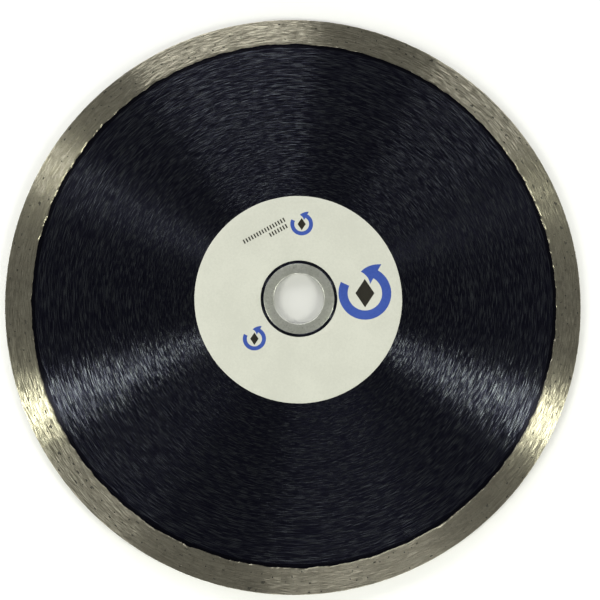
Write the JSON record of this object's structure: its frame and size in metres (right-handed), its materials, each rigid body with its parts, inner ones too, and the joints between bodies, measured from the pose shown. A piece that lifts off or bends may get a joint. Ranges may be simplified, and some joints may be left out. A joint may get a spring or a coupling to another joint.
{
  "type": "diamond blade",
  "caption": "Round continuous-rim diamond blade for a wet tile saw: steel core, sintered diamond rim, reducer bushing with a round spindle bore, and a paper face label.",
  "frame": {"origin": "centre of the spindle bore, half way through the blade's thickness", "axes": "+Z along the spin axis, out of the labelled face; +X and +Y in the plane of the disc, with the top of the label's print towards +X"},
  "size_m": [0.1799, 0.1801, 0.0022],
  "materials": {
    "painted_core": "near-black navy paint over a circular brushed steel disc, satin",
    "sintered_bond": "warm grey sintered metal bond, ground round the disc, pitted",
    "diamond_grit": "pale crystals ground flush on the faces and standing proud on the cutting edge",
    "bushing_steel": "turned grey steel with fine tool marks",
    "label_paper": null
  },
  "bodies": {
    "blade": {"core_disc": "painted_core", "diamond_rim": "sintered_bond", "diamond_grains": "diamond_grit", "face_label": "label_paper"},
    "bushing": {"reducer_bushing": "bushing_steel"}
  },
  "joints": [
    {"name": "bushing_push_out", "type": "slide", "parent": "blade", "child": "bushing", "axis": [0, 0, 1], "range_m": [-0.012, 0.012]}
  ]
}
